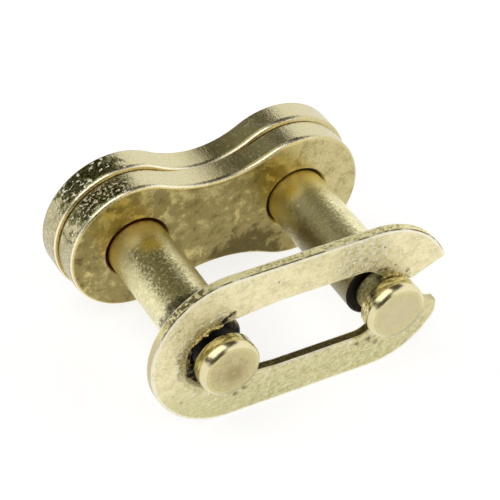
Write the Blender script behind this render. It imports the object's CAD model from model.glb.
import math

import bmesh
import bpy
from mathutils import Matrix, Vector
from mathutils import noise as mathutils_noise


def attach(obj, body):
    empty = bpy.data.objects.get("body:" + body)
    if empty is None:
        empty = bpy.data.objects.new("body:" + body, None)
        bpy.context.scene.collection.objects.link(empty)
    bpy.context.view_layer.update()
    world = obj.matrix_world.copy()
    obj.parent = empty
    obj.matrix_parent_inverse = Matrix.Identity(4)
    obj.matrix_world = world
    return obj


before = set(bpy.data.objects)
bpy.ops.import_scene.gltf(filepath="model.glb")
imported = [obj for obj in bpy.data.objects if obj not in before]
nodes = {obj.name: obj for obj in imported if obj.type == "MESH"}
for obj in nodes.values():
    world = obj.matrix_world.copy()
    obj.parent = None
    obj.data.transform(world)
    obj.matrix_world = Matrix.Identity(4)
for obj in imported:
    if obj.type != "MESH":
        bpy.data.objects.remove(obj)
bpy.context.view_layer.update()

# ---- Pin link plate -----------------------------------------------------------------------------
# The fixed outer plate, blanked from steel strip, with both pins riveted into it. The die rolled
# its front rim over and tore part of the cut edge. Yellow zinc plating covers all of it and has
# tarnished to olive and brown where it was handled.

MILLIMETRES_PER_UNIT = 1000.0
PITCH = 12.7
PIN_HEIGHT = 6.09
PLATE_THICKNESS = 2.0
LINK_PLATE_FACE_Y = 6.9

# from the front face back through the thickness: the roll of the rim, its pale line, the cut edge
RIM_ROLL = 0.4
ROLL_STARTS = (0.01, 0.07)
PALE_LINE_STARTS = (0.08, 0.14)
CUT_STARTS = (RIM_ROLL - 0.23, RIM_ROLL - 0.14)
BACK_CORNER = (PLATE_THICKNESS - 0.10, PLATE_THICKNESS - 0.03)

# where things begin and end on a plate: out from the nearer pin's axis, along the chain, or up
HOLE_RING = (2.38, 2.44)
RIM_OFF_PIN = (2.9, 3.3)
CLEANER_X = (4.5, 8.0)
PALER_X = (5.0, 8.0)
PALER_RIM_X = (6.0, 8.5)
LEFT_TEAR_X = -10.9
RIGHT_TEAR_X = (1.0, 4.9)
TEAR_Z = (7.0, 8.0)
DULL_END_X = (-11.4, -10.2)
DULL_WAIST_X = (-0.6, 4.0)
SPECKLED_X = (-11.2, -9.6)

# tarnish on the face, less where it is negative: along the chain, height, full within this
# distance, gone past this distance, strength
PLATE_STAINS = (
    (2.4, 1.8, 0.6, 4.4, 0.85),
    (-10.3, 6.6, 0.1, 0.9, 0.4),
    (-8.0, 8.5, 0.1, 1.0, 0.35),
    (5.4, 10.3, 0.2, 1.8, -0.5),
    (-8.4, 9.8, 0.2, 2.2, -0.4),
    (0.0, 19.4, 10.0, 11.0, -0.35),
)
MIDDLING_TARNISH = 0.48

RICH_GOLD = (0.72, 0.59, 0.24, 1.0)
DEEP_GOLD = (0.50, 0.35, 0.08, 1.0)
GREEN_GOLD = (0.66, 0.62, 0.30, 1.0)
CREAM = (0.97, 0.92, 0.72, 1.0)
FACE_GOLD = (0.54, 0.46, 0.21, 1.0)
LOBE_GOLD = (0.62, 0.54, 0.27, 1.0)
OLIVE_TARNISH = (0.31, 0.25, 0.095, 1.0)
BROWN_TARNISH = (0.112, 0.086, 0.029, 1.0)
EDGE_GOLD = (0.66, 0.60, 0.37, 1.0)
DULL_EDGE = (0.40, 0.35, 0.185, 1.0)
TORN_STEEL = (0.30, 0.29, 0.12, 1.0)
BLACK_STEEL = (0.085, 0.085, 0.028, 1.0)


def metal(name):
    """A new all-metal material: the material, its node tree and its shader."""
    material = bpy.data.materials.new(name)
    material.use_nodes = True
    shader = material.node_tree.nodes["Principled BSDF"]
    shader.inputs["Metallic"].default_value = 1.0
    return material, material.node_tree, shader


def plug(tree, value, socket):
    """Sets an input from another node's output or from a plain value."""
    if isinstance(value, bpy.types.NodeSocket):
        tree.links.new(value, socket)
    else:
        socket.default_value = value


def millimetres(tree, stretch=(1.0, 1.0, 1.0)):
    """Position on the part in millimetres, stretched to draw a pattern out along an axis."""
    place = tree.nodes.new("ShaderNodeTexCoord")
    scale = tree.nodes.new("ShaderNodeMapping")
    scale.inputs["Scale"].default_value = [MILLIMETRES_PER_UNIT * s for s in stretch]
    tree.links.new(place.outputs["Object"], scale.inputs["Vector"])
    return scale.outputs["Vector"]


def axes(tree, place):
    """The three coordinates of a position or direction, as values of their own."""
    node = tree.nodes.new("ShaderNodeSeparateXYZ")
    tree.links.new(place, node.inputs["Vector"])
    return node.outputs["X"], node.outputs["Y"], node.outputs["Z"]


def noise(tree, place, per_millimetre, detail, roughness, distortion=0.0):
    """Cloudy pattern with this many lumps to a millimetre, finer with more detail and roughness."""
    node = tree.nodes.new("ShaderNodeTexNoise")
    node.inputs["Scale"].default_value = per_millimetre
    node.inputs["Detail"].default_value = detail
    node.inputs["Roughness"].default_value = roughness
    node.inputs["Distortion"].default_value = distortion
    tree.links.new(place, node.inputs["Vector"])
    return node.outputs["Fac"]


def ramp(tree, value, low, high, start=0.0, end=1.0, easing="SMOOTHSTEP"):
    """Change from start to end while the value goes from low to high."""
    node = tree.nodes.new("ShaderNodeMapRange")
    node.interpolation_type = easing
    plug(tree, value, node.inputs["Value"])
    for name, number in (("From Min", low), ("From Max", high), ("To Min", start), ("To Max", end)):
        node.inputs[name].default_value = number
    return node.outputs["Result"]


def combine(tree, operation, *values):
    """Folds any number of values together with one arithmetic operation."""
    total = values[0]
    for value in values[1:]:
        node = tree.nodes.new("ShaderNodeMath")
        node.operation = operation
        plug(tree, total, node.inputs[0])
        plug(tree, value, node.inputs[1])
        total = node.outputs["Value"]
    return total


def times(tree, *values):
    """The values multiplied together."""
    return combine(tree, "MULTIPLY", *values)


def plus(tree, *values):
    """The sum of the values."""
    return combine(tree, "ADD", *values)


def most(tree, *values):
    """The largest of the values."""
    return combine(tree, "MAXIMUM", *values)


def apply(tree, operation, value):
    """One value put through an operation that takes no other, such as a square root."""
    node = tree.nodes.new("ShaderNodeMath")
    node.operation = operation
    plug(tree, value, node.inputs[0])
    return node.outputs["Value"]


def off_axis(tree, across, rise):
    """Distance from an axis, given the distances across and up from it."""
    squares = plus(tree, times(tree, across, across), times(tree, rise, rise))
    return apply(tree, "SQRT", squares)


def between(tree, value, low, high, soft):
    """1 from low to high and 0 outside, with both ends softened by this much."""
    return times(tree, ramp(tree, value, low - soft, low + soft),
                 ramp(tree, value, high - soft, high + soft, 1.0, 0.0))


def blend(tree, amount, first, second):
    """Colour that goes from the first to the second as the amount goes from 0 to 1."""
    node = tree.nodes.new("ShaderNodeMix")
    node.data_type = "RGBA"
    plug(tree, amount, node.inputs["Factor"])
    plug(tree, first, [i for i in node.inputs if i.name == "A" and i.type == "RGBA"][0])
    plug(tree, second, [i for i in node.inputs if i.name == "B" and i.type == "RGBA"][0])
    return [o for o in node.outputs if o.type == "RGBA"][0]


def spot(tree, place, centre, inner, outer):
    """1 within the inner radius of a point and 0 past the outer one."""
    node = tree.nodes.new("ShaderNodeVectorMath")
    node.operation = "DISTANCE"
    tree.links.new(place, node.inputs[0])
    node.inputs[1].default_value = centre
    return ramp(tree, node.outputs["Value"], inner, outer, 1.0, 0.0)


def bump(tree, shader, height, depth):
    """Raises the surface by this many millimetres where the height is 1."""
    node = tree.nodes.new("ShaderNodeBump")
    node.inputs["Distance"].default_value = depth / MILLIMETRES_PER_UNIT
    tree.links.new(height, node.inputs["Height"])
    tree.links.new(node.outputs["Normal"], shader.inputs["Normal"])


def plate_finish(name, face_y, ring_colour, rim_gold, tear_end, crags_per_millimetre, crag_level):
    """Plating of a side plate: tarnished face, burnished rim, cut edge with its torn stretches."""
    material, tree, shader = metal(name)
    place = millimetres(tree)
    x, y, z = axes(tree, place)
    grain = noise(tree, place, 7.0, detail=3.0, roughness=0.6)
    blotches = noise(tree, place, 0.85, detail=5.0, roughness=0.62, distortion=0.5)
    patches = noise(tree, place, 1.4, detail=4.0, roughness=0.6, distortion=0.2)
    drift = noise(tree, place, 0.5, detail=2.0, roughness=0.5)
    across = plus(tree, apply(tree, "ABSOLUTE", x), -PITCH / 2)
    from_pin = off_axis(tree, across, plus(tree, z, -PIN_HEIGHT))

    # flat face: tarnish is heaviest low between the pins and thins out over the right lobe
    uneven = ramp(tree, x, *CLEANER_X, 1.0, 0.35)
    stains = [times(tree, spot(tree, place, (along, face_y, height), inner, outer), strength)
              for along, height, inner, outer, strength in PLATE_STAINS]
    tarnish = plus(tree, MIDDLING_TARNISH,
                   times(tree, uneven, ramp(tree, blotches, 0.32, 0.68, -0.32, 0.32)),
                   times(tree, uneven, ramp(tree, patches, 0.42, 0.62, -0.12, 0.14)),
                   ramp(tree, grain, 0.35, 0.65, -0.08, 0.08),
                   ramp(tree, x, *CLEANER_X, 0.0, -0.40),
                   *stains)
    gold = blend(tree, ramp(tree, drift, 0.40, 0.60), FACE_GOLD, RICH_GOLD)
    gold = blend(tree, ramp(tree, x, *PALER_X), gold, LOBE_GOLD)
    face = blend(tree, ramp(tree, tarnish, -0.05, 0.50), gold, OLIVE_TARNISH)
    face = blend(tree, ramp(tree, tarnish, 0.55, 1.15), face, BROWN_TARNISH)

    # stained ring round each hole, olive round the right one
    ring = blend(tree, ramp(tree, x, -1.0, 1.0), ring_colour, OLIVE_TARNISH)
    face = blend(tree, ramp(tree, from_pin, *HOLE_RING, 0.9, 0.0), face, ring)

    # rolled rim: golden where it leaves the face, then a pale burnished line
    roll = plus(tree, y, -face_y)
    off_back = ramp(tree, roll, *BACK_CORNER, 1.0, 0.0)
    on_rim = times(tree, ramp(tree, roll, *ROLL_STARTS), ramp(tree, from_pin, *RIM_OFF_PIN), off_back)
    rim = blend(tree, ramp(tree, roll, *PALE_LINE_STARTS), rim_gold, CREAM)
    rim = blend(tree, ramp(tree, x, *PALER_RIM_X), rim, LOBE_GOLD)
    face = blend(tree, on_rim, face, rim)

    # cut edge: smooth with fine lines across it, dull or speckled in places
    on_edge = times(tree, ramp(tree, roll, *CUT_STARTS), off_back)
    lines = noise(tree, millimetres(tree, stretch=(1.0, 0.14, 1.0)), 8.0, detail=2.0, roughness=0.5)
    dull = most(tree, ramp(tree, x, *DULL_END_X, 1.0, 0.0), between(tree, x, *DULL_WAIST_X, soft=1.4))
    edge = blend(tree, times(tree, dull, 0.9), EDGE_GOLD, DULL_EDGE)
    edge = blend(tree, ramp(tree, lines, 0.45, 0.65, 0.0, 0.35), edge, GREEN_GOLD)
    specks = noise(tree, place, 5.0, detail=2.5, roughness=0.55)
    speckled = ramp(tree, x, *SPECKLED_X, 1.0, 0.0)
    edge = blend(tree, times(tree, speckled, ramp(tree, specks, 0.50, 0.62), 0.35), edge, CREAM)

    # torn stretches, on the upper left of each lobe: black crags with bright chips on them
    ragged = plus(tree, x, ramp(tree, patches, 0.3, 0.7, -0.9, 0.9))
    left_torn = between(tree, ragged, LEFT_TEAR_X, tear_end, soft=0.35)
    right_torn = times(tree, between(tree, ragged, *RIGHT_TEAR_X, soft=0.6), 0.8)
    torn = times(tree, most(tree, left_torn, right_torn), on_edge, ramp(tree, z, *TEAR_Z))
    sharp = times(tree, left_torn, torn)
    crag_place = millimetres(tree, stretch=(1.0, 1.0, 0.7))
    crags = noise(tree, crag_place, crags_per_millimetre, detail=2.5, roughness=0.5)
    flecks = ramp(tree, crags, crag_level, crag_level + 0.03)
    chips = noise(tree, place, 3.4, detail=3.0, roughness=0.6)
    chipped = times(tree, sharp, ramp(tree, chips, 0.44, 0.54, 0.0, 0.85))
    scarred = blend(tree, ramp(tree, patches, 0.42, 0.58), TORN_STEEL, OLIVE_TARNISH)
    scarred = blend(tree, ramp(tree, sharp, 0.1, 0.7), scarred, BLACK_STEEL)
    scarred = blend(tree, chipped, scarred, TORN_STEEL)
    scarred = blend(tree, times(tree, flecks, ramp(tree, sharp, 0.2, 0.8, 0.35, 1.0)), scarred, CREAM)
    edge = blend(tree, torn, edge, scarred)

    colour = blend(tree, on_edge, face, edge)
    colour = blend(tree, ramp(tree, grain, 0.45, 0.75, 0.0, 0.25), colour, OLIVE_TARNISH)
    plug(tree, colour, shader.inputs["Base Color"])
    shine = plus(tree, ramp(tree, grain, 0.3, 0.7, 0.28, 0.38), times(tree, on_rim, -0.08),
                 times(tree, torn, 0.14), times(tree, sharp, -0.16))
    plug(tree, shine, shader.inputs["Roughness"])
    steps = ramp(tree, crags, crag_level - 0.03, crag_level + 0.10)
    height = plus(tree, times(tree, grain, 0.30), times(tree, steps, sharp, 1.8),
                  times(tree, lines, on_edge, 0.25), times(tree, specks, speckled, on_edge, 0.8))
    bump(tree, shader, height, depth=0.05)
    return material


nodes["pin_link_plate"].data.materials[0] = plate_finish(
    "pin_link_plate_plating", face_y=LINK_PLATE_FACE_Y, ring_colour=BROWN_TARNISH,
    rim_gold=DEEP_GOLD, tear_end=-6.6, crags_per_millimetre=2.8, crag_level=0.59)

# ---- Pins ---------------------------------------------------------------------------------------
# Two turned steel pins, riveted into the pin link plate and grooved near the free end for the clip.
# They were ground and tumbled before plating, so the shanks are grainy and the heads smooth. Black
# grime fills the grooves.

SHOULDER_Y = -6.25
HEAD_BACK_Y = -7.80
HEAD_FRONT_Y = -9.30

# stretches of the shank, along it: handled dark, gold toward the plate, flank stain, the rust line
# at the cover plate, and the dirt that crept up from the groove
HANDLED_Y = (-6.0, 3.2)
GOLD_STARTS_Y = (3.2, 4.9)
GOLD_ENDS_Y = (5.2, 6.4)
FLANK_Y = (0.0, 2.5)
RUST_LINE_Y = (4.76, 4.94)
CREEP_Y = (-3.1, -2.65)

# round the groove and the head, along the pin
CRUMBS_Y = (SHOULDER_Y - 0.05, SHOULDER_Y + 1.6)
SHOULDER_SHADE_Y = (SHOULDER_Y - 0.25, SHOULDER_Y - 0.02)
GROOVE_Y = (HEAD_BACK_Y + 0.05, SHOULDER_Y + 0.16)
HEAD_STARTS_Y = (HEAD_BACK_Y - 0.05, HEAD_BACK_Y + 0.05)
CROWN_Y = (HEAD_FRONT_Y + 0.45, HEAD_FRONT_Y + 0.75)
TURN_Y = (HEAD_FRONT_Y, HEAD_FRONT_Y + 0.43)
SIDE_Y = (HEAD_FRONT_Y + 0.43, HEAD_FRONT_Y + 0.68)

# radii on the head
DISC_SHADE = (1.0, 1.7)
DISC_LINE = (1.72, 1.84)
DISC_RING = (1.84, 1.96)
FLAT_ENDS = (1.66, 1.75)
TUMBLED_EDGE = (1.75, 2.18)

PALE_GOLD = (0.84, 0.77, 0.45, 1.0)
BRIGHT_GOLD = (0.97, 0.91, 0.58, 1.0)
STAIN_GOLD = (0.97, 0.80, 0.33, 1.0)
STAIN_BROWN = (0.66, 0.50, 0.10, 1.0)
HANDLED_OLIVE = (0.24, 0.21, 0.07, 1.0)
RING_GOLD = (0.76, 0.69, 0.42, 1.0)
LEFT_DISC_GOLD = (0.46, 0.385, 0.205, 1.0)
RIGHT_DISC_GOLD = (0.59, 0.52, 0.32, 1.0)
RUST = (0.32, 0.115, 0.062, 1.0)
GRIME = (0.022, 0.018, 0.014, 1.0)


def slope(tree, value, low, high, start=0.0, end=1.0):
    """Straight change from start to end while the value goes from low to high."""
    return ramp(tree, value, low, high, start, end, "LINEAR")


def pin_finish(name, axis_x, dark_lean, dark_from, dark_amount, flank_stain, stain_place, rust,
               groove_grime, shank_grime, crust, disc_gold, dimple):
    """Plating of one pin: grainy shank, black groove with its dirt, smooth head."""
    material, tree, shader = metal(name)
    place = millimetres(tree)
    x, y, z = axes(tree, place)
    grain = noise(tree, place, 6.0, detail=4.0, roughness=0.7)
    blots = noise(tree, place, 1.1, detail=4.0, roughness=0.6, distortion=0.4)
    pits = noise(tree, place, 5.0, detail=4.0, roughness=0.8)
    sanded = noise(tree, place, 4.2, detail=5.0, roughness=0.8)
    across = plus(tree, x, -axis_x)
    rise = plus(tree, z, -PIN_HEIGHT)
    radius = off_axis(tree, across, rise)

    # shank: pale gold, dark with handling along its top, browner down the left flank
    shank = blend(tree, ramp(tree, blots, 0.40, 0.60), BRIGHT_GOLD, PALE_GOLD)
    shank = blend(tree, ramp(tree, pits, 0.44, 0.60, 0.0, 0.55), shank, GREEN_GOLD)
    leftward, upward = dark_lean
    upper = plus(tree, times(tree, across, -leftward), times(tree, rise, upward),
                 times(tree, sanded, 1.6))
    handled = times(tree, ramp(tree, upper, dark_from, dark_from + 0.4),
                    between(tree, y, *HANDLED_Y, soft=1.0))
    shank = blend(tree, times(tree, handled, dark_amount), shank, HANDLED_OLIVE)
    flank = plus(tree, across, times(tree, sanded, 0.6))
    flank = times(tree, ramp(tree, flank, -1.85, -1.00, 1.0, 0.0),
                  ramp(tree, y, *FLANK_Y, flank_stain, 0.0))
    shank = blend(tree, flank, shank, BROWN_TARNISH)

    # root: golden toward the plate, with one stain, and a line of rust where the plate rubs
    root = times(tree, ramp(tree, plus(tree, y, times(tree, pits, 1.5)), *GOLD_STARTS_Y, 0.0, 0.8),
                 ramp(tree, y, *GOLD_ENDS_Y, 1.0, 0.0))
    shank = blend(tree, root, shank, STAIN_GOLD)
    stain = times(tree, spot(tree, place, stain_place, 0.1, 1.3), ramp(tree, pits, 0.30, 0.50, 0.6, 1.0))
    shank = blend(tree, stain, shank, STAIN_BROWN)
    shank = blend(tree, times(tree, between(tree, y, *RUST_LINE_Y, soft=0.05), rust), shank, RUST)
    creep = plus(tree, y, ramp(tree, blots, 0.35, 0.65, -0.3, 0.3), times(tree, pits, 0.8))
    smear = times(tree, ramp(tree, creep, *CREEP_Y, 1.0, 0.0), ramp(tree, grain, 0.40, 0.60, 0.55, 1.0))
    shank = blend(tree, times(tree, smear, shank_grime), shank, GRIME)

    # groove: grime in it, and crumbs of dirt on the shoulder above it
    in_groove = between(tree, y, *GROOVE_Y, soft=0.05)
    neck = blend(tree, ramp(tree, grain, 0.40, 0.60), GREEN_GOLD, OLIVE_TARNISH)
    neck = blend(tree, groove_grime, neck, GRIME)
    neck = blend(tree, ramp(tree, y, *SHOULDER_SHADE_Y), neck, GRIME)
    colour = blend(tree, in_groove, shank, neck)
    crumbs = ramp(tree, plus(tree, pits, times(tree, radius, 0.35)), 1.17, 1.30)
    crumbs = times(tree, crumbs, between(tree, y, *CRUMBS_Y, soft=0.1),
                   ramp(tree, rise, 0.4, 1.4, 0.0, crust))
    crumb_colour = blend(tree, ramp(tree, grain, 0.45, 0.60), OLIVE_TARNISH, RICH_GOLD)
    colour = blend(tree, crumbs, colour, crumb_colour)

    # head: turned side, and a flat end with a paler ring and on one pin a brown dimple
    on_head = ramp(tree, y, *HEAD_STARTS_Y, 1.0, 0.0)
    rings = noise(tree, millimetres(tree, stretch=(1.2, 4.5, 1.2)), 1.0, detail=3.0, roughness=0.7)
    side = blend(tree, ramp(tree, rings, 0.42, 0.58), PALE_GOLD, OLIVE_TARNISH)
    side = blend(tree, ramp(tree, grain, 0.45, 0.65, 0.0, 0.5), side, GREEN_GOLD)
    crown = ramp(tree, y, *CROWN_Y, 1.0, 0.0)
    disc = blend(tree, ramp(tree, radius, *DISC_SHADE, 0.0, 0.5), disc_gold, LOBE_GOLD)
    disc = blend(tree, ramp(tree, pits, 0.45, 0.60, 0.0, 0.35), disc, LOBE_GOLD)
    disc = blend(tree, ramp(tree, pits, 0.36, 0.46, 0.2, 0.0), disc, OLIVE_TARNISH)
    disc = blend(tree, ramp(tree, blots, 0.45, 0.60, 0.0, 0.25), disc, GREEN_GOLD)
    disc = blend(tree, times(tree, between(tree, radius, *DISC_LINE, soft=0.06), 0.7), disc, GREEN_GOLD)
    disc = blend(tree, ramp(tree, radius, *DISC_RING), disc, RING_GOLD)
    dimple_place = (axis_x + 0.1, HEAD_FRONT_Y, PIN_HEIGHT - 0.2)
    hollow = spot(tree, place, dimple_place, 0.1, 1.0)
    bottom = spot(tree, place, dimple_place, 0.0, 0.35)
    brown = times(tree, plus(tree, hollow, times(tree, bottom, -0.5)), dimple)
    disc = blend(tree, brown, disc, OLIVE_TARNISH)
    colour = blend(tree, on_head, colour, blend(tree, crown, side, disc))

    plug(tree, colour, shader.inputs["Base Color"])
    shine = plus(tree, ramp(tree, on_head, 0.0, 1.0, 0.27, 0.18), times(tree, in_groove, 0.20))
    plug(tree, shine, shader.inputs["Roughness"])

    # the tumbled edge fades into the flat end and the side; heights are in millimetres
    on_end = slope(tree, radius, *FLAT_ENDS)
    on_side = slope(tree, y, *SIDE_Y, 1.0, 0.0)
    turn = times(tree, slope(tree, radius, *TUMBLED_EDGE), slope(tree, y, *TURN_Y, 1.0, 0.0))
    edge = plus(tree, times(tree, on_end, on_end, -0.018), times(tree, on_side, on_side, -0.05),
                times(tree, turn, -0.135))
    height = plus(tree, times(tree, pits, ramp(tree, on_head, 0.0, 1.0, 0.040, 0.006)),
                  times(tree, on_head, edge), times(tree, hollow, dimple, -0.02))
    bump(tree, shader, height, depth=1.0)
    return material


nodes["left_pin"].data.materials[0] = pin_finish(
    "left_pin_plating", axis_x=-PITCH / 2, dark_lean=(0.31, 0.85), dark_from=2.44, dark_amount=0.95,
    flank_stain=0.0, stain_place=(-6.5, 2.35, 8.3), rust=0.9, groove_grime=1.0, shank_grime=0.9,
    crust=0.9, disc_gold=LEFT_DISC_GOLD, dimple=0.8)
nodes["right_pin"].data.materials[0] = pin_finish(
    "right_pin_plating", axis_x=PITCH / 2, dark_lean=(0.35, 0.75), dark_from=2.16, dark_amount=0.72,
    flank_stain=0.8, stain_place=(5.0, 3.6, 7.9), rust=0.0, groove_grime=0.25, shank_grime=0.0,
    crust=0.0, disc_gold=RIGHT_DISC_GOLD, dimple=0.0)

# ---- Cover plate --------------------------------------------------------------------------------
# The loose outer plate, blanked like the pin link plate and plated with it. It slides on the pins
# and is stored pushed back against the pin link plate.

COVER_PLATE_FACE_Y = 4.8

nodes["cover_plate"].data.materials[0] = plate_finish(
    "cover_plate_plating", face_y=COVER_PLATE_FACE_Y, ring_colour=RUST, rim_gold=RICH_GOLD,
    tear_end=-7.0, crags_per_millimetre=4.6, crag_level=0.565)

# ---- Spring clip --------------------------------------------------------------------------------
# One flat spring, blanked from strip, hardened and plated. It snaps into the pins' grooves with its
# closed end on the first pin. The press left dents, burrs round the slot and a speckled outer edge.

CLIP_FACE_Y = -7.33
CLIP_BACK_Y = -6.63
CLIP_MIDDLE_Z = 5.97
CLIP_END_X = (-5.34, 5.58)
SLOT_END_X = -6.23

# through the clip's thickness: the bevel of the front edge, and the blanked wall
BEVEL_Y = (CLIP_FACE_Y + 0.05, CLIP_FACE_Y + 0.20)
WALL_Y = (CLIP_FACE_Y + 0.12, CLIP_BACK_Y - 0.05)

# places on the clip's face, in millimetres
SLOT_END = (SLOT_END_X, CLIP_FACE_Y, CLIP_MIDDLE_Z)
DENTED_PATCH = (4.4, CLIP_FACE_Y, 10.4)
JAW_SHADE = (9.3, CLIP_FACE_Y, 4.4)
DIRT_CORNER = (-8.0, CLIP_FACE_Y, 4.1)
SPECKLED_NOSE = (-9.0, CLIP_FACE_Y, 10.6)
SOOTY_NOSE = (-8.7, CLIP_FACE_Y, 11.0)

# stretches of the clip along the chain (X) and up it (Z)
UPPER_LEFT_X = (-6.2, -4.8)
UPPER_LEFT_Z = (4.0, 6.8)
LOWER_LEG_DENTS_Z = (2.6, 4.4)
GREENER_Z = (1.0, 5.5)
SCAB_Z = (2.6, 4.6)
SCAB_X = (-6.5, -3.5)
GLINT_Z = (3.0, 4.6)
SPARK_X = (-5.4, -4.6)
JAW_RIM_X = (8.7, 9.1)
TOP_LEG_X = (-6.0, -3.0)
TOP_LEG_Z = (8.0, 10.0)
TOP_RIM_Z = (8.0, 9.5)
GRIMY_WALL_X = (-4.6, -3.2)
TOP_BEVEL_Z = (7.5, 9.5)

# out from the clip's middle line: the outer wall, its bright edge, and the lips of the slot
OUTER_WALL = (5.3, 5.6)
BRIGHT_EDGE = (5.72, 5.78)
SLOT_LIP = (2.86, 2.98)
SLOT_LIP_X = (-1.8, 4.0)

# dirt caught on burrs: along the chain, height, radius
BURR_MARKS = (
    (-6.4, 8.5, 0.22), (-5.9, 8.7, 0.30), (-5.4, 9.1, 0.26), (-9.3, 9.2, 0.09), (-9.7, 3.5, 0.08),
    (-9.1, 2.7, 0.08), (-5.0, 1.8, 0.20), (-4.3, 2.1, 0.16), (5.9, 8.6, 0.24), (6.3, 8.6, 0.22),
    (6.9, 8.1, 0.18), (8.1, 7.8, 0.16), (6.1, 10.6, 0.07), (7.1, 8.7, 0.07), (-2.0, 10.6, 0.06),
    (5.4, 2.6, 0.26), (4.5, 2.5, 0.18), (6.0, 2.1, 0.20),
)
MARK_SPREAD = 2.4

# dents are drawn as relief: the ridges, less the same ridges a little to the right and below
DENT_STRETCH = (0.75, 1.0, 1.3)
DENT_PATTERN = (2.6, 2.5, 0.55)
DENT_SHIFT = (0.10, 0.0, -0.12)

CLIP_CREAM = (0.95, 0.86, 0.57, 1.0)
CLIP_YELLOW = (0.78, 0.70, 0.37, 1.0)
NOSE_GOLD = (0.66, 0.59, 0.34, 1.0)
RIM_YELLOW = (0.97, 0.88, 0.42, 1.0)
SLOT_WALL = (0.20, 0.16, 0.05, 1.0)


def shifted(tree, place, shift):
    """The same position moved by this much."""
    node = tree.nodes.new("ShaderNodeVectorMath")
    node.operation = "ADD"
    tree.links.new(place, node.inputs[0])
    node.inputs[1].default_value = shift
    return node.outputs["Vector"]


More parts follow.
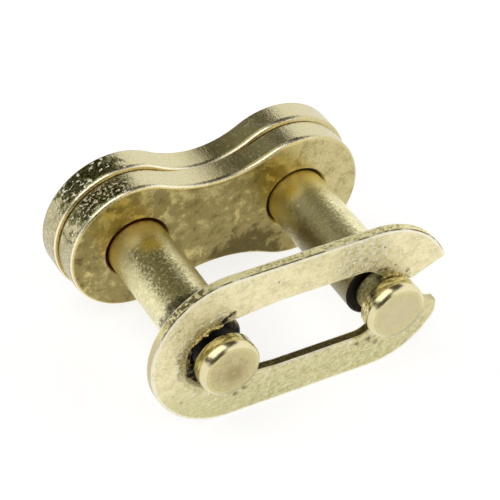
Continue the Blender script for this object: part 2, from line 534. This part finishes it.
def clip_finish(name):
    """Plating of the clip: creamy dented face, dirt round the slot, speckled rim, grimy slot wall."""
    material, tree, shader = metal(name)
    place = millimetres(tree)
    x, y, z = axes(tree, place)
    grain = noise(tree, place, 6.0, detail=4.0, roughness=0.65)
    clouds = noise(tree, place, 1.2, detail=3.0, roughness=0.55)
    ragged = noise(tree, place, 4.5, detail=5.0, roughness=0.75)
    pits = noise(tree, place, 3.2, detail=5.0, roughness=0.8)
    blotches = noise(tree, place, 2.4, detail=4.0, roughness=0.65)

    # face: cream, yellower in the pits, greener with scabs and glints on the lower leg
    face = blend(tree, ramp(tree, clouds, 0.38, 0.62, 0.0, 0.4), CLIP_CREAM, PALE_GOLD)
    face = blend(tree, ramp(tree, pits, 0.44, 0.60, 0.0, 0.85), face, CLIP_YELLOW)
    face = blend(tree, ramp(tree, z, *GREENER_Z, 0.85, 0.0), face, GREEN_GOLD)
    scabs = times(tree, ramp(tree, pits, 0.49, 0.60), ramp(tree, z, *SCAB_Z, 0.38, 0.0))
    face = blend(tree, times(tree, scabs, ramp(tree, x, *SCAB_X)), face, OLIVE_TARNISH)
    glints = times(tree, ramp(tree, pits, 0.37, 0.45, 0.45, 0.0), ramp(tree, z, *GLINT_Z, 1.0, 0.0))
    face = blend(tree, glints, face, CREAM)

    # dents: a patch on the upper leg, the lower leg, and round the closed end of the slot
    from_slot_end = spot(tree, place, SLOT_END, 2.45, 3.7)
    upper_left = times(tree, ramp(tree, x, *UPPER_LEFT_X, 1.0, 0.0),
                       ramp(tree, z, *UPPER_LEFT_Z, 0.3, 1.0))
    dented = most(tree, spot(tree, place, DENTED_PATCH, 1.2, 2.8),
                  ramp(tree, clouds, 0.50, 0.62, 0.0, 0.35),
                  ramp(tree, z, *LOWER_LEG_DENTS_Z, 0.36, 0.0),
                  times(tree, from_slot_end, upper_left))
    dented = times(tree, dented, ramp(tree, blotches, 0.42, 0.54, 0.3, 1.0))
    dent_place = millimetres(tree, DENT_STRETCH)
    ridges = noise(tree, dent_place, *DENT_PATTERN)
    beside = noise(tree, shifted(tree, dent_place, DENT_SHIFT), *DENT_PATTERN)
    lit = plus(tree, ridges, times(tree, beside, -1.0))
    flecks = times(tree, ramp(tree, lit, 0.02, 0.06), dented)
    hollows = times(tree, ramp(tree, lit, -0.07, -0.02, 1.0, 0.0), dented)
    face = blend(tree, times(tree, hollows, 0.6), face, OLIVE_TARNISH)
    face = blend(tree, flecks, face, CREAM)
    face = blend(tree, times(tree, spot(tree, place, JAW_SHADE, 0.6, 2.2), 0.6), face, LOBE_GOLD)

    # crumbs of burr round the closed end of the slot, and the dirt they caught
    crumb_gold = blend(tree, ramp(tree, grain, 0.44, 0.58), RICH_GOLD, OLIVE_TARNISH)
    crumbs = plus(tree, from_slot_end, ragged, ramp(tree, clouds, 0.35, 0.65, -0.25, 0.25))
    crumbs = times(tree, ramp(tree, crumbs, 0.95, 1.20), upper_left, 0.85)
    face = blend(tree, crumbs, face, crumb_gold)
    sparks = times(tree, from_slot_end, ramp(tree, ragged, 0.55, 0.60),
                   ramp(tree, x, *SPARK_X, 1.0, 0.0))
    face = blend(tree, times(tree, sparks, 0.9), face, RIM_YELLOW)
    dirt_brown = blend(tree, ramp(tree, grain, 0.42, 0.62), BROWN_TARNISH, OLIVE_TARNISH)
    dirt = times(tree, spot(tree, place, SLOT_END, 2.55, 3.15),
                 spot(tree, place, DIRT_CORNER, 0.9, 2.3), 1.2)
    marks = [spot(tree, place, (along, CLIP_FACE_Y, height), 0.0, MARK_SPREAD * radius)
             for along, height, radius in BURR_MARKS]
    dirt = plus(tree, most(tree, dirt, *marks), times(tree, ragged, 2.0))
    dirt = ramp(tree, dirt, 1.30, 2.10)
    face = blend(tree, times(tree, dirt, 0.85), face, dirt_brown)

    # edges: pale where they were burnished, brown in the bevel along the top
    left_end, right_end = CLIP_END_X
    nearest = combine(tree, "MINIMUM", most(tree, x, left_end), right_end)
    rise = plus(tree, z, -CLIP_MIDDLE_Z)
    reach = off_axis(tree, combine(tree, "SUBTRACT", x, nearest), rise)
    slot_lip = times(tree, between(tree, apply(tree, "ABSOLUTE", rise), *SLOT_LIP, soft=0.02),
                     between(tree, x, *SLOT_LIP_X, soft=0.5), 0.9)
    bright_edge = most(tree, times(tree, ramp(tree, reach, *BRIGHT_EDGE), 0.9), slot_lip)
    face = blend(tree, bright_edge, face, CREAM)
    on_bevel = times(tree, between(tree, y, *BEVEL_Y, soft=0.02),
                     ramp(tree, clouds, 0.36, 0.54, 0.3, 1.0), ramp(tree, z, *TOP_BEVEL_Z))
    face = blend(tree, on_bevel, face, BROWN_TARNISH)

    # blanked walls: yellow and speckled outside, grimy inside the slot
    on_top = ramp(tree, z, *TOP_RIM_Z)
    speckled = most(tree, spot(tree, place, SPECKLED_NOSE, 0.8, 3.2),
                    times(tree, ramp(tree, x, *TOP_LEG_X), ramp(tree, z, *TOP_LEG_Z), 0.75))
    sooty = spot(tree, place, SOOTY_NOSE, 1.2, 2.6)
    rim = blend(tree, on_top, NOSE_GOLD, RIM_YELLOW)
    rim = blend(tree, times(tree, on_top, ramp(tree, pits, 0.46, 0.58, 0.0, 0.8)), rim, BRIGHT_GOLD)
    rim = blend(tree, times(tree, speckled, ramp(tree, ragged, 0.46, 0.60)), rim, OLIVE_TARNISH)
    rim = blend(tree, times(tree, sooty, ramp(tree, blotches, 0.44, 0.51), 0.9), rim, BROWN_TARNISH)
    rim = blend(tree, times(tree, sooty, ramp(tree, blotches, 0.40, 0.44, 0.8, 0.0)), rim, CLIP_YELLOW)
    inner = blend(tree, ramp(tree, ragged, 0.42, 0.56, 0.0, 0.7), SLOT_WALL, GRIME)
    inner = blend(tree, ramp(tree, x, *GRIMY_WALL_X), GRIME, inner)
    outer = most(tree, ramp(tree, reach, *OUTER_WALL), ramp(tree, x, *JAW_RIM_X))
    on_wall = between(tree, y, *WALL_Y, soft=0.02)
    colour = blend(tree, on_wall, face, blend(tree, outer, inner, rim))
    plug(tree, colour, shader.inputs["Base Color"])
    plug(tree, ramp(tree, grain, 0.3, 0.7, 0.30, 0.40), shader.inputs["Roughness"])

    height = plus(tree, times(tree, pits, 1.4), times(tree, flecks, 2.2), times(tree, dirt, 0.5),
                  times(tree, crumbs, ragged, 4.0))
    bump(tree, shader, height, depth=0.05)
    return material


nodes["spring_clip"].data.materials[0] = clip_finish("spring_clip_plating")

# ---- Burrs on the clip --------------------------------------------------------------------------
# Ragged beads of torn steel which the press left round the closed end of the slot and at the seat.
# They are part of the clip's own metal and move with it. Plating and black dirt cling to them.

BEAD_SIDES = 12
BEAD_STEPS = 40
LUMPS_PER_MILLIMETRE = 2.6
SPIKES_PER_MILLIMETRE = 6.0
SPIKE_SHARE = 0.6
WELD_DISTANCE = 0.002

SLOT_CENTRE = (SLOT_END_X, CLIP_MIDDLE_Z)
SEAT_CENTRE = (6.87, CLIP_MIDDLE_Z)
UPPER_LEG_BURR = (-4.15, 6.48)


def burr_finish(name, dark, pale, low, high):
    """Lumpy metal, dark in its hollows and paler on its points."""
    material, tree, shader = metal(name)
    lumps = noise(tree, millimetres(tree), 3.5, detail=4.0, roughness=0.6)
    colour = blend(tree, ramp(tree, lumps, low, high), dark, pale)
    plug(tree, colour, shader.inputs["Base Color"])
    plug(tree, ramp(tree, lumps, 0.3, 0.7, 0.55, 0.35), shader.inputs["Roughness"])
    bump(tree, shader, lumps, depth=0.03)
    return material


def finished(name, shape, finish):
    """Object with this name, made from a shape and given its finish."""
    mesh = bpy.data.meshes.new(name)
    shape.to_mesh(mesh)
    shape.free()
    mesh.materials.append(finish)
    piece = bpy.data.objects.new(name, mesh)
    bpy.context.scene.collection.objects.link(piece)
    return piece


def make_burr(name, finish, centre, radius, start, sweep, depth, thickness, roughness):
    """Bead along an arc, in millimetres and degrees: a ring spun round, tapered and roughened."""
    bead = bmesh.new()
    bmesh.ops.create_circle(bead, cap_ends=True, segments=BEAD_SIDES, radius=thickness)
    bmesh.ops.translate(bead, verts=bead.verts, vec=(radius, 0.0, 0.0))
    bmesh.ops.rotate(bead, verts=bead.verts, matrix=Matrix.Rotation(math.radians(-start), 3, "Y"))
    bmesh.ops.spin(bead, geom=bead.verts[:] + bead.edges[:] + bead.faces[:], axis=(0.0, 1.0, 0.0),
                   cent=(0.0, 0.0, 0.0), angle=math.radians(-sweep), steps=BEAD_STEPS,
                   use_duplicate=False)
    for vert in bead.verts:
        angle = math.degrees(math.atan2(vert.co.z, vert.co.x)) % 360.0
        along = min(max((angle - start) / sweep, 0.0), 1.0)
        spine = Vector((math.cos(math.radians(angle)), 0.0, math.sin(math.radians(angle)))) * radius
        lump = mathutils_noise.noise(vert.co * LUMPS_PER_MILLIMETRE)
        spike = mathutils_noise.noise(vert.co * SPIKES_PER_MILLIMETRE)
        swell = math.sin(math.pi * along) ** 0.5 * (1.0 + roughness * (lump + SPIKE_SHARE * spike))
        vert.co = spine + (vert.co - spine) * swell
    bmesh.ops.remove_doubles(bead, verts=bead.verts, dist=WELD_DISTANCE)
    bmesh.ops.recalc_face_normals(bead, faces=bead.faces)
    bmesh.ops.translate(bead, verts=bead.verts, vec=(centre[0], depth, centre[1]))
    bmesh.ops.scale(bead, verts=bead.verts, vec=(1 / MILLIMETRES_PER_UNIT,) * 3)
    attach(finished(name, bead, finish), "clip")


sooty_burr = burr_finish("sooty_burr", GRIME, OLIVE_TARNISH, low=0.46, high=0.72)
golden_burr = burr_finish("golden_burr", BROWN_TARNISH, RICH_GOLD, low=0.32, high=0.50)
make_burr("slot_burr_low", sooty_burr, SLOT_CENTRE, radius=2.30, start=150.0, sweep=112.0,
          depth=-7.12, thickness=0.34, roughness=0.5)
make_burr("slot_burr_top", golden_burr, SLOT_CENTRE, radius=2.52, start=84.0, sweep=62.0,
          depth=-7.26, thickness=0.22, roughness=0.9)
make_burr("slot_burr_high", sooty_burr, UPPER_LEG_BURR, radius=3.0, start=108.0, sweep=32.0,
          depth=-7.30, thickness=0.11, roughness=1.0)
make_burr("seat_burr_outer", golden_burr, SEAT_CENTRE, radius=1.72, start=28.0, sweep=46.0,
          depth=-7.10, thickness=0.26, roughness=0.4)
make_burr("seat_burr_inner", golden_burr, SEAT_CENTRE, radius=1.88, start=62.0, sweep=52.0,
          depth=-7.22, thickness=0.20, roughness=0.8)

# ---- Table and studio ---------------------------------------------------------------------------
# The part stands on a pale table in a small studio. A pale wall is on its right and a soft panel
# hangs over its left. The room is pale near the floor, and dark above and where the camera stands.

TABLE_WIDTH = 3.0
TABLE_GREY = (0.38, 0.38, 0.38, 1.0)
TABLE_LIFT = 0.75

# the room is drawn by direction: the wall lies ahead of two of them and below a height, and the pale
# stretch near the floor stops at the camera's side
WALL_STARTS = (0.921, -0.391, 0.0)
WALL_START_SOFT = 0.06
WALL_ENDS = (0.999, 0.035, 0.0)
WALL_END_SOFT = 0.10
WALL_TOP = (0.66, 0.80)
LOW_TOP = (0.14, 0.28)
CAMERA_SIDE = (-0.470, -0.814, 0.342)
CAMERA_SIDE_EDGE = (0.86, 0.95)
PALE_WALL = (1.1, 1.1, 1.1, 1.0)
DARK_ROOM = (0.085, 0.076, 0.048, 1.0)

PANEL_AZIMUTH = -100.0
PANEL_ELEVATION = 60.0
PANEL_DISTANCE = 0.8
PANEL_WIDTH = 1.3
PANEL_HEIGHT = 0.9
PANEL_WATTS = 5.2

LENS_MM = 159.3
SENSOR_MM = 36.0
NEAREST_SEEN = 0.01
CAMERA_AIM = Vector((0.000206, 0.000495, 0.006632))
CAMERA_DISTANCE = 0.1534
CAMERA_AZIMUTH = 29.97
CAMERA_ELEVATION = 40.07
CAMERA_ROLL = 2.44


def make_table():
    """Grey table that looks near white to the camera and in the metal, and keeps its shadow."""
    paint = bpy.data.materials.new("table_paint")
    paint.use_nodes = True
    tree = paint.node_tree
    tree.nodes.clear()
    matt = tree.nodes.new("ShaderNodeBsdfDiffuse")
    matt.inputs["Color"].default_value = TABLE_GREY
    ray = tree.nodes.new("ShaderNodeLightPath")
    seen = most(tree, ray.outputs["Is Camera Ray"], ray.outputs["Is Glossy Ray"],
                ray.outputs["Is Transmission Ray"])
    glow = tree.nodes.new("ShaderNodeEmission")
    plug(tree, times(tree, seen, TABLE_LIFT), glow.inputs["Strength"])
    both = tree.nodes.new("ShaderNodeAddShader")
    tree.links.new(matt.outputs[0], both.inputs[0])
    tree.links.new(glow.outputs[0], both.inputs[1])
    output = tree.nodes.new("ShaderNodeOutputMaterial")
    tree.links.new(both.outputs[0], output.inputs["Surface"])
    top = bmesh.new()
    bmesh.ops.create_grid(top, x_segments=1, y_segments=1, size=TABLE_WIDTH / 2)
    finished("table_top", top, paint)


def toward(tree, direction, goal):
    """How far a direction points the way of another: 1 straight along it, 0 across."""
    node = tree.nodes.new("ShaderNodeVectorMath")
    node.operation = "DOT_PRODUCT"
    tree.links.new(direction, node.inputs[0])
    node.inputs[1].default_value = goal
    return node.outputs["Value"]


def make_room():
    """Dark room with one pale wall, pale near the floor too except on the camera's side."""
    world = bpy.data.worlds.new("studio_room")
    bpy.context.scene.world = world
    world.use_nodes = True
    tree = world.node_tree
    background = tree.nodes["Background"]
    direction = tree.nodes.new("ShaderNodeTexCoord").outputs["Generated"]
    height = axes(tree, direction)[2]
    past_start = toward(tree, direction, WALL_STARTS)
    before_end = toward(tree, direction, WALL_ENDS)
    wall = times(tree, ramp(tree, past_start, -WALL_START_SOFT, WALL_START_SOFT),
                 ramp(tree, before_end, -WALL_END_SOFT, WALL_END_SOFT),
                 ramp(tree, height, *WALL_TOP, 1.0, 0.0))
    low = times(tree, ramp(tree, height, *LOW_TOP, 1.0, 0.0),
                ramp(tree, toward(tree, direction, CAMERA_SIDE), *CAMERA_SIDE_EDGE, 1.0, 0.0))
    plug(tree, blend(tree, most(tree, wall, low), DARK_ROOM, PALE_WALL), background.inputs["Color"])
    background.inputs["Strength"].default_value = 1.0


def make_panel():
    """Soft panel overhead on the left, facing the part."""
    lamp = bpy.data.lights.new("overhead_panel", "AREA")
    lamp.shape = "RECTANGLE"
    lamp.size = PANEL_WIDTH
    lamp.size_y = PANEL_HEIGHT
    lamp.energy = PANEL_WATTS
    panel = bpy.data.objects.new("overhead_panel", lamp)
    bpy.context.scene.collection.objects.link(panel)
    azimuth, elevation = math.radians(PANEL_AZIMUTH), math.radians(PANEL_ELEVATION)
    away = Vector((math.sin(azimuth) * math.cos(elevation),
                   math.cos(azimuth) * math.cos(elevation),
                   math.sin(elevation)))
    panel.location = away * PANEL_DISTANCE
    panel.rotation_euler = away.to_track_quat("Z", "Y").to_euler()


def make_camera():
    """Long lens aimed a little above the middle of the part, from the clip's side."""
    lens = bpy.data.cameras.new("camera")
    lens.lens = LENS_MM
    lens.sensor_width = SENSOR_MM
    lens.clip_start = NEAREST_SEEN
    camera = bpy.data.objects.new("camera", lens)
    bpy.context.scene.collection.objects.link(camera)
    turn = Matrix.Rotation(math.radians(-CAMERA_AZIMUTH), 4, "Z")
    tilt = Matrix.Rotation(math.radians(90 - CAMERA_ELEVATION), 4, "X")
    roll = Matrix.Rotation(math.radians(CAMERA_ROLL), 4, "Z")
    facing = turn @ tilt @ roll
    place = CAMERA_AIM + (facing @ Vector((0, 0, CAMERA_DISTANCE)))
    camera.matrix_world = Matrix.Translation(place) @ facing
    bpy.context.scene.camera = camera


make_table()
make_room()
make_panel()
make_camera()
bpy.context.scene.view_settings.view_transform = "Standard"
